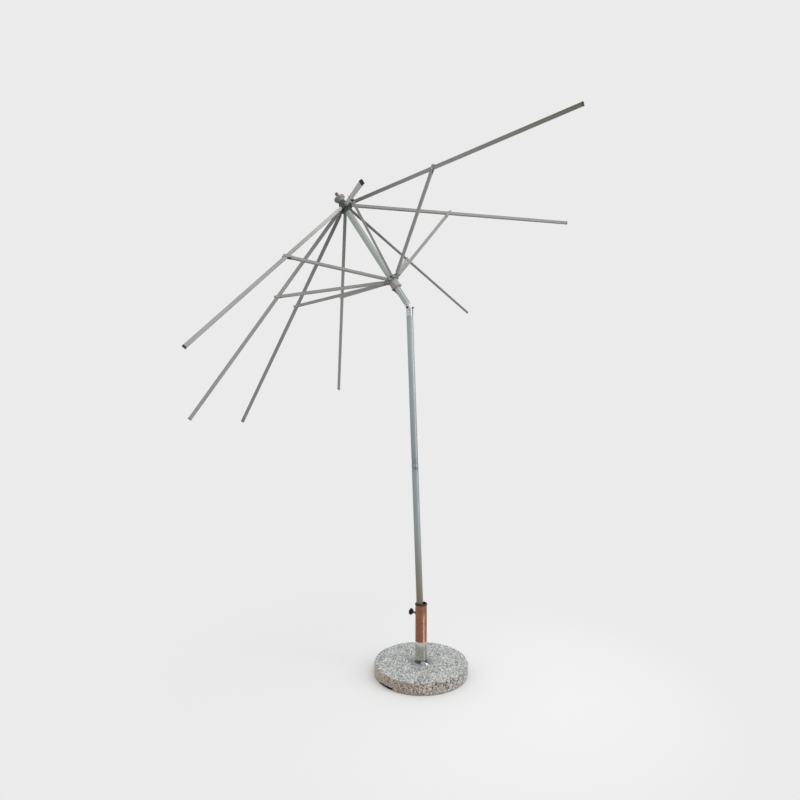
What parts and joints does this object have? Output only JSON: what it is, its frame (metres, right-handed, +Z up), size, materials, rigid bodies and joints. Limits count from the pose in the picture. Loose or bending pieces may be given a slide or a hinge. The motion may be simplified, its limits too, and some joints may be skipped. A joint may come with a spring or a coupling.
{
  "type": "tilting parasol frame",
  "caption": "Bare parasol frame with drooping ribs on a pole with a tilt joint, standing loose in a clamped tube on a round granite base; tilts, swivels and begins to fold.",
  "frame": {"origin": "centre of the granite base's flat underside, on the floor", "axes": "+Z up, -X the side that the head tilts towards; the picture is seen from about 69 degrees on the -Y side of +X"},
  "size_m": [1.8458, 2.2368, 2.4444],
  "materials": {
    "granite": "polished speckled granite",
    "chrome": "polished chrome plate",
    "steel": "polished stainless steel",
    "copper": "polished copper-coloured steel tube",
    "black_plastic": "black moulded plastic",
    "pole_aluminium": "satin anodised aluminium tube",
    "zinc": "bare zinc casting",
    "hub_casting": "dark grey-green lacquered casting",
    "warm_grey": "warm grey moulded plastic",
    "rib_aluminium": "satin aluminium section",
    "dark_steel": "dark plated steel"
  },
  "bodies": {
    "base": {"granite_base": "granite", "anchor_stud": "steel", "anchor_nut": "steel", "base_flange": "chrome", "lower_collar": "steel", "stand_tube": "copper", "tube_ring": "black_plastic"},
    "clamp_screw": {"clamp_screw": "dark_steel"},
    "clamp_knob": {"clamp_knob": "black_plastic"},
    "pole": {"pole_foot": "black_plastic", "lower_pole": "pole_aluminium", "pole_coupling": "chrome", "middle_pole": "pole_aluminium", "tilt_clevis": "zinc", "tilt_pin": "dark_steel"},
    "tilt_latch": {"tilt_latch": "zinc", "tilt_button": "black_plastic"},
    "head": {"tilt_tongue": "zinc", "upper_pole": "pole_aluminium", "crown_hub": "hub_casting", "crown_wire": "dark_steel", "finial_cap": "warm_grey", "finial_ball": "chrome"},
    "spring_catch": {"spring_catch": "dark_steel"},
    "runner": {"runner_hub": "hub_casting", "runner_wire": "dark_steel", "runner_sleeve": "warm_grey"},
    "rib_1": {"rib_1": "rib_aluminium", "rib_plug_1": "black_plastic", "rib_rivet_1": "steel"},
    "rib_2": {"rib_2": "rib_aluminium", "rib_plug_2": "black_plastic", "rib_rivet_2": "steel"},
    "rib_3": {"rib_3": "rib_aluminium", "rib_plug_3": "black_plastic", "rib_rivet_3": "steel"},
    "rib_4": {"rib_4": "rib_aluminium", "rib_plug_4": "black_plastic", "rib_rivet_4": "steel"},
    "rib_5": {"rib_5": "rib_aluminium", "rib_plug_5": "black_plastic", "rib_rivet_5": "steel"},
    "rib_6": {"rib_6": "rib_aluminium", "rib_plug_6": "black_plastic", "rib_rivet_6": "steel"},
    "rib_7": {"rib_7": "rib_aluminium", "rib_plug_7": "black_plastic", "rib_rivet_7": "steel"},
    "rib_8": {"rib_8": "rib_aluminium", "rib_plug_8": "black_plastic", "rib_rivet_8": "steel"},
    "strut_1": {"strut_1": "rib_aluminium"},
    "strut_2": {"strut_2": "rib_aluminium"},
    "strut_3": {"strut_3": "rib_aluminium"},
    "strut_4": {"strut_4": "rib_aluminium"},
    "strut_5": {"strut_5": "rib_aluminium"},
    "strut_6": {"strut_6": "rib_aluminium"},
    "strut_7": {"strut_7": "rib_aluminium"},
    "strut_8": {"strut_8": "rib_aluminium"}
  },
  "joints": [
    {"name": "knob_turn", "type": "hinge", "parent": "clamp_screw", "child": "clamp_knob", "pos_m": [0, 0, 0.29], "axis": [-0.9703, 0.2419, 0], "range_deg": [0, 1440]},
    {"name": "screw_slide", "type": "slide", "parent": "base", "child": "clamp_screw", "axis": [-0.9703, 0.2419, 0], "range_m": [0, 0.005]},
    {"name": "pole_swivel", "type": "hinge", "parent": "base", "child": "pole", "pos_m": [0.00415, 0, 0.06718], "axis": [-0.0388, 0, 0.9992], "continuous": true},
    {"name": "latch_press", "type": "hinge", "parent": "pole", "child": "tilt_latch", "pos_m": [-0.0451, 0, 1.71887], "axis": [0, -1, 0], "range_deg": [0, 4], "stiffness_Nm_per_rad": 4},
    {"name": "head_tilt", "type": "hinge", "parent": "pole", "child": "head", "pos_m": [-0.06745, 0, 1.75568], "axis": [0, 1, 0], "range_deg": [0, 32.2]},
    {"name": "catch_press", "type": "slide", "parent": "head", "child": "spring_catch", "axis": [0.8074, 0.2045, 0.5534], "range_m": [0, 0.0058], "stiffness_N_per_m": 800},
    {"name": "runner_slide", "type": "slide", "parent": "head", "child": "runner", "axis": [-0.5653, 0, 0.8249], "range_m": [-0.06, 0]},
    {"name": "rib_fold_1", "type": "hinge", "parent": "head", "child": "rib_1", "pos_m": [-0.41796, -0.01719, 2.23315], "axis": [0.3302, -0.9164, 0.2263], "range_deg": [-0.1, 3.88]},
    {"name": "rib_fold_2", "type": "hinge", "parent": "head", "child": "rib_2", "pos_m": [-0.40184, -0.02997, 2.24419], "axis": [0.7457, -0.4274, 0.5111], "range_deg": [-0.1, 3.88]},
    {"name": "rib_fold_3", "type": "hinge", "parent": "head", "child": "rib_3", "pos_m": [-0.383, -0.0252, 2.25711], "axis": [0.7771, 0.3355, 0.5326], "range_deg": [-0.1, 3.88]},
    {"name": "rib_fold_4", "type": "hinge", "parent": "head", "child": "rib_4", "pos_m": [-0.37245, -0.00566, 2.26433], "axis": [0.2916, 0.9354, 0.1998], "range_deg": [-0.1, 3.88]},
    {"name": "rib_fold_5", "type": "hinge", "parent": "head", "child": "rib_5", "pos_m": [-0.37639, 0.01719, 2.26164], "axis": [-0.6149, 0.6665, -0.4214], "range_deg": [-0.1, 3.88]},
    {"name": "rib_fold_6", "type": "hinge", "parent": "head", "child": "rib_6", "pos_m": [-0.3925, 0.02997, 2.25059], "axis": [-0.8245, -0.0279, -0.5651], "range_deg": [-0.1, 3.88]},
    {"name": "rib_fold_7", "type": "hinge", "parent": "head", "child": "rib_7", "pos_m": [-0.41135, 0.0252, 2.23768], "axis": [-0.528, -0.7683, -0.3619], "range_deg": [-0.1, 3.88]},
    {"name": "rib_fold_8", "type": "hinge", "parent": "head", "child": "rib_8", "pos_m": [-0.42189, 0.00566, 2.23045], "axis": [-0.036, -0.999, -0.0247], "range_deg": [-0.1, 3.88]},
    {"name": "strut_fold_1", "type": "hinge", "parent": "runner", "child": "strut_1", "pos_m": [-0.17345, -0.01719, 1.87639], "axis": [0.3302, -0.9164, 0.2263], "range_deg": [-3.87, 0.1]},
    {"name": "strut_fold_2", "type": "hinge", "parent": "runner", "child": "strut_2", "pos_m": [-0.15734, -0.02997, 1.88744], "axis": [0.7457, -0.4274, 0.5111], "range_deg": [-3.87, 0.1]},
    {"name": "strut_fold_3", "type": "hinge", "parent": "runner", "child": "strut_3", "pos_m": [-0.13849, -0.0252, 1.90035], "axis": [0.7771, 0.3355, 0.5326], "range_deg": [-3.87, 0.1]},
    {"name": "strut_fold_4", "type": "hinge", "parent": "runner", "child": "strut_4", "pos_m": [-0.12795, -0.00566, 1.90758], "axis": [0.2916, 0.9354, 0.1998], "range_deg": [-3.87, 0.1]},
    {"name": "strut_fold_5", "type": "hinge", "parent": "runner", "child": "strut_5", "pos_m": [-0.13189, 0.01719, 1.90488], "axis": [-0.6149, 0.6665, -0.4214], "range_deg": [-3.87, 0.1]},
    {"name": "strut_fold_6", "type": "hinge", "parent": "runner", "child": "strut_6", "pos_m": [-0.148, 0.02997, 1.89384], "axis": [-0.8245, -0.0279, -0.5651], "range_deg": [-3.87, 0.1]},
    {"name": "strut_fold_7", "type": "hinge", "parent": "runner", "child": "strut_7", "pos_m": [-0.16685, 0.0252, 1.88092], "axis": [-0.528, -0.7683, -0.3619], "range_deg": [-3.87, 0.1]},
    {"name": "strut_fold_8", "type": "hinge", "parent": "runner", "child": "strut_8", "pos_m": [-0.17739, 0.00566, 1.87369], "axis": [-0.036, -0.999, -0.0247], "range_deg": [-3.87, 0.1]}
  ],
  "couplings": [
    {"joint": "knob_turn", "follows": "screw_slide", "rad_per_m": 5026.5},
    {"joint": "rib_fold_1", "follows": "runner_slide", "rad_per_m": -1.069},
    {"joint": "rib_fold_2", "follows": "runner_slide", "rad_per_m": -1.069},
    {"joint": "rib_fold_3", "follows": "runner_slide", "rad_per_m": -1.069},
    {"joint": "rib_fold_4", "follows": "runner_slide", "rad_per_m": -1.069},
    {"joint": "rib_fold_5", "follows": "runner_slide", "rad_per_m": -1.069},
    {"joint": "rib_fold_6", "follows": "runner_slide", "rad_per_m": -1.069},
    {"joint": "rib_fold_7", "follows": "runner_slide", "rad_per_m": -1.069},
    {"joint": "rib_fold_8", "follows": "runner_slide", "rad_per_m": -1.069},
    {"joint": "strut_fold_1", "follows": "runner_slide", "rad_per_m": 1.0673},
    {"joint": "strut_fold_2", "follows": "runner_slide", "rad_per_m": 1.0673},
    {"joint": "strut_fold_3", "follows": "runner_slide", "rad_per_m": 1.0673},
    {"joint": "strut_fold_4", "follows": "runner_slide", "rad_per_m": 1.0673},
    {"joint": "strut_fold_5", "follows": "runner_slide", "rad_per_m": 1.0673},
    {"joint": "strut_fold_6", "follows": "runner_slide", "rad_per_m": 1.0673},
    {"joint": "strut_fold_7", "follows": "runner_slide", "rad_per_m": 1.0673},
    {"joint": "strut_fold_8", "follows": "runner_slide", "rad_per_m": 1.0673}
  ]
}
